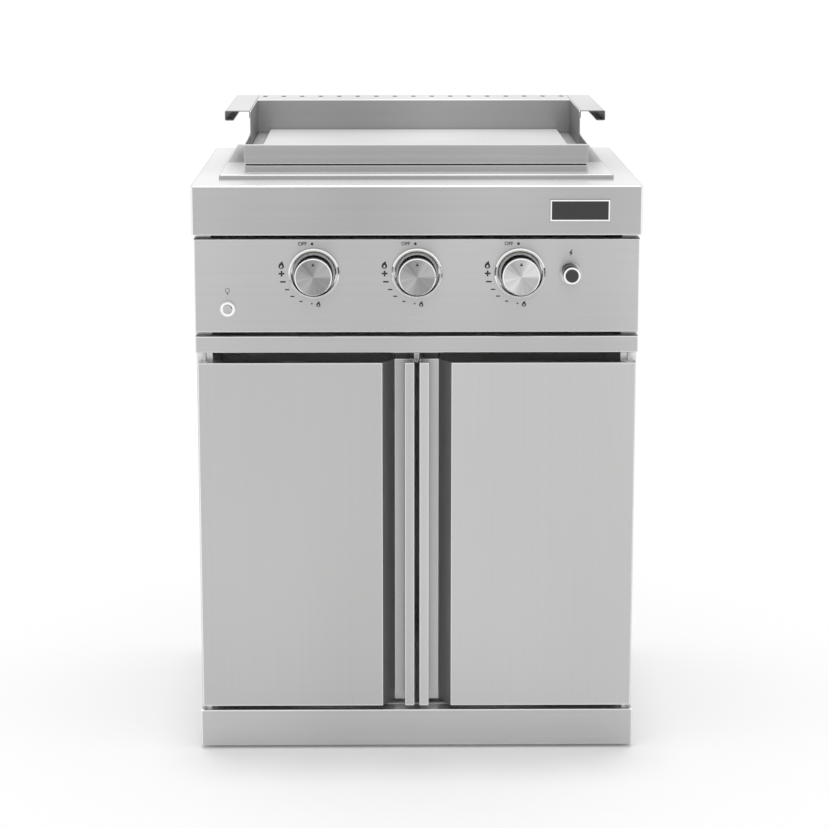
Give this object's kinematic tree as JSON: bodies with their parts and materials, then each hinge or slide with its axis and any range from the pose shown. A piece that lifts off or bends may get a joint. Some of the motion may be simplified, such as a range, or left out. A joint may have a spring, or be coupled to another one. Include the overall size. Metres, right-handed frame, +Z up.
{
  "type": "outdoor kitchen",
  "caption": "Free-standing stainless outdoor kitchen: gas griddle with splash guard set in a worktop, control panel with knobs, and a cabinet with hook-pull doors on a plinth.",
  "frame": {"origin": "on the floor, under the middle of the object's bounding box", "axes": "+Z up, +Y to the back, +X to the right as the cook faces the knobs"},
  "size_m": [0.7, 0.6366, 1.003],
  "materials": {
    "brushed_sheet": "brushed stainless sheet",
    "cooking_steel": "ground plate",
    "bright_chrome": "polished",
    "zinc": "zinc plated",
    "valve_brass": "machined",
    "foot_black": "moulded",
    "magnet_black": "moulded",
    "bush_white": "nylon",
    "badge_black": "black plate, bare",
    "button_black": "gloss black",
    "lens": "frosted clear",
    "porcelain": "white glazed"
  },
  "bodies": {
    "cabinet": {"worktop": "brushed_sheet", "left_side_panel": "brushed_sheet", "right_side_panel": "brushed_sheet", "back_panel": "brushed_sheet", "back_screws": "zinc", "cabinet_floor": "brushed_sheet", "worktop_front_rail": "brushed_sheet", "worktop_rear_rail": "brushed_sheet", "plinth": "brushed_sheet", "cabinet_front_rail": "brushed_sheet", "control_panel": "brushed_sheet", "levelling_feet": "foot_black", "foot_brackets": "zinc", "foot_nuts": "zinc", "hinge_pins": "zinc", "catch_bracket": "zinc", "door_magnets": "magnet_black", "knob_bezels": "bright_chrome", "knob_light_rings": "lens", "gas_manifold": "zinc", "igniter_housing": "bright_chrome", "lamp_switch_housing": "bright_chrome", "badge_plate": "badge_black", "hob_frame": "brushed_sheet", "burner_box": "brushed_sheet", "burner_rest": "brushed_sheet", "igniter_electrodes": "porcelain", "tray_runners": "brushed_sheet", "valve_body_1": "valve_brass", "valve_body_2": "valve_brass", "valve_body_3": "valve_brass", "burner_1": "brushed_sheet", "burner_2": "brushed_sheet", "burner_3": "brushed_sheet"},
    "left_door": {"left_door_skin": "brushed_sheet", "left_door_liner": "brushed_sheet", "left_door_bushes": "bush_white", "left_door_strike": "zinc"},
    "right_door": {"right_door_skin": "brushed_sheet", "right_door_liner": "brushed_sheet", "right_door_bushes": "bush_white", "right_door_strike": "zinc"},
    "griddle": {"griddle_tray": "brushed_sheet", "griddle_plate": "cooking_steel", "griddle_pads": "brushed_sheet", "splash_guard": "brushed_sheet", "left_grip": "brushed_sheet", "right_grip": "brushed_sheet"},
    "drip_tray": {"drip_tray": "brushed_sheet"},
    "igniter_button": {"igniter_button": "button_black"},
    "lamp_switch_button": {"lamp_switch_button": "bright_chrome"},
    "valve_1": {"valve_plug_1": "valve_brass"},
    "knob_1": {"knob_1": "bright_chrome", "valve_stem_1": "valve_brass"},
    "valve_2": {"valve_plug_2": "valve_brass"},
    "knob_2": {"knob_2": "bright_chrome", "valve_stem_2": "valve_brass"},
    "valve_3": {"valve_plug_3": "valve_brass"},
    "knob_3": {"knob_3": "bright_chrome", "valve_stem_3": "valve_brass"}
  },
  "joints": [
    {"name": "door_left_swing", "type": "hinge", "parent": "cabinet", "child": "left_door", "pos_m": [-0.3325, -0.26425, 0.3], "axis": [0, 0, -1], "range_deg": [0, 110]},
    {"name": "door_right_swing", "type": "hinge", "parent": "cabinet", "child": "right_door", "pos_m": [0.3325, -0.26425, 0.3], "axis": [0, 0, 1], "range_deg": [0, 110]},
    {"name": "drip_tray_slide", "type": "slide", "parent": "cabinet", "child": "drip_tray", "axis": [0, 1, 0], "range_m": [0, 0.4]},
    {"name": "griddle_lift", "type": "slide", "parent": "cabinet", "child": "griddle", "axis": [0, 0, 1], "range_m": [0, 0.25]},
    {"name": "igniter_press", "type": "slide", "parent": "cabinet", "child": "igniter_button", "axis": [0, 1, 0], "range_m": [0, 0.004], "stiffness_N_per_m": 700},
    {"name": "lamp_press", "type": "slide", "parent": "cabinet", "child": "lamp_switch_button", "axis": [0, 1, 0], "range_m": [0, 0.003], "stiffness_N_per_m": 500},
    {"name": "knob_1_turn", "type": "hinge", "parent": "cabinet", "child": "valve_1", "pos_m": [-0.16, -0.27, 0.773], "axis": [0, -1, 0], "range_deg": [0, 180]},
    {"name": "knob_1_press", "type": "slide", "parent": "valve_1", "child": "knob_1", "axis": [0, 1, 0], "range_m": [0, 0.005], "stiffness_N_per_m": 600},
    {"name": "knob_2_turn", "type": "hinge", "parent": "cabinet", "child": "valve_2", "pos_m": [0, -0.27, 0.773], "axis": [0, -1, 0], "range_deg": [0, 180]},
    {"name": "knob_2_press", "type": "slide", "parent": "valve_2", "child": "knob_2", "axis": [0, 1, 0], "range_m": [0, 0.005], "stiffness_N_per_m": 600},
    {"name": "knob_3_turn", "type": "hinge", "parent": "cabinet", "child": "valve_3", "pos_m": [0.16, -0.27, 0.773], "axis": [0, -1, 0], "range_deg": [0, 180]},
    {"name": "knob_3_press", "type": "slide", "parent": "valve_3", "child": "knob_3", "axis": [0, 1, 0], "range_m": [0, 0.005], "stiffness_N_per_m": 600}
  ]
}
